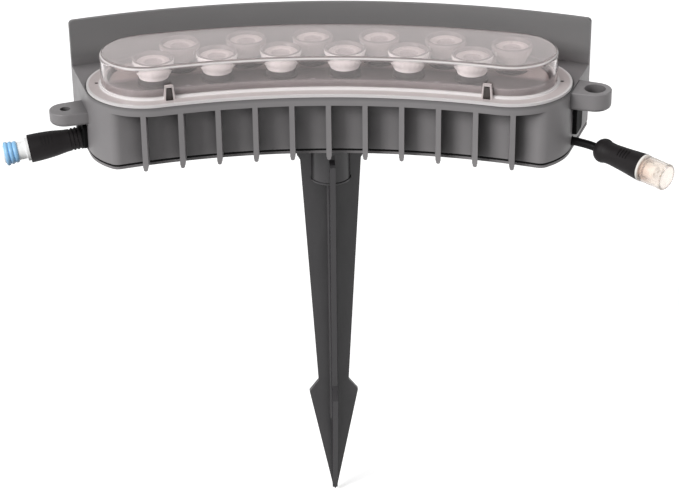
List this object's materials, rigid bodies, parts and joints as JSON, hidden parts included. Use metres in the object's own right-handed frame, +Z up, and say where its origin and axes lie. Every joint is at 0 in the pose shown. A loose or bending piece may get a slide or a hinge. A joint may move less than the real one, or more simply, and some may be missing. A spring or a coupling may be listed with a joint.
{
  "type": "light projector stake",
  "caption": "Arc-shaped outdoor LED light projector with ribbed grey housing, clear raised cover over small lenses, light shield, plug and socket leads, on a black ground stake.",
  "frame": {"origin": "on the stake's axis at the ground line, which is the foot of the flared shoulders on the stake's side fins when the stake is pushed fully in", "axes": "+Z up, +X along the lamp towards the socket lead, -Y towards the ribbed front, +Y towards the light shield"},
  "size_m": [0.39, 0.1101, 0.313],
  "materials": {
    "housing_grey": "fine moulded texture, satin",
    "cover_grey": "fine moulded texture, satin",
    "stake_black": "moulded, low sheen",
    "black_rubber": "matt",
    "overmould_black": "soft matt",
    "cable_jacket": "satin",
    "clear_cover_pc": "clear polished",
    "lens_clear": "clear polished",
    "connector_clear": "clear moulded",
    "connector_white": "semi gloss",
    "seal_blue": "satin silicone",
    "contact_brass": "polished",
    "bezel_grey": "satin",
    "holder_dark": "satin",
    "clip_dark": "satin",
    "plate_aluminium": "milled",
    "led_board_dark": "solder mask",
    "led_white": "phosphor",
    "screw_steel": "zinc plated",
    "board_green": "solder mask",
    "chip_black": "moulded",
    "capacitor_sleeve": "sleeve",
    "inductor_core": "ferrite",
    "terminal_white": "moulded",
    "wire_red": "satin",
    "wire_black": "satin"
  },
  "bodies": {
    "stake": {"stake": "stake_black"},
    "lamp": {"board_screws": "screw_steel", "bottom_cover": "cover_grey", "bottom_cover_screws": "screw_steel", "bottom_gasket": "black_rubber", "cable_gland_left": "black_rubber", "cable_gland_right": "black_rubber", "cable_right": "cable_jacket", "clear_cover": "clear_cover_pc", "cover_clips": "clip_dark", "cover_gasket": "black_rubber", "cover_screws": "screw_steel", "driver_board": "board_green", "driver_capacitors": "capacitor_sleeve", "driver_chips": "chip_black", "driver_inductors": "inductor_core", "driver_screws": "screw_steel", "heat_plate": "plate_aluminium", "housing": "housing_grey", "inner_bezel": "bezel_grey", "led_board": "led_board_dark", "led_packages": "led_white", "lens_holders": "holder_dark", "plug_body": "overmould_black", "plug_lead": "cable_jacket", "plug_nose": "connector_white", "plug_pins": "contact_brass", "plug_seal": "seal_blue", "socket_body": "overmould_black", "socket_contacts": "contact_brass", "socket_insert": "connector_white", "socket_ring": "connector_white", "socket_shell": "connector_clear", "tir_lenses": "lens_clear", "wire_terminals": "terminal_white", "wires_black": "wire_black", "wires_red": "wire_red"}
  },
  "joints": [
    {"name": "lamp_lift", "type": "slide", "parent": "stake", "child": "lamp", "axis": [0, 0, 1], "range_m": [0, 0.024]}
  ]
}
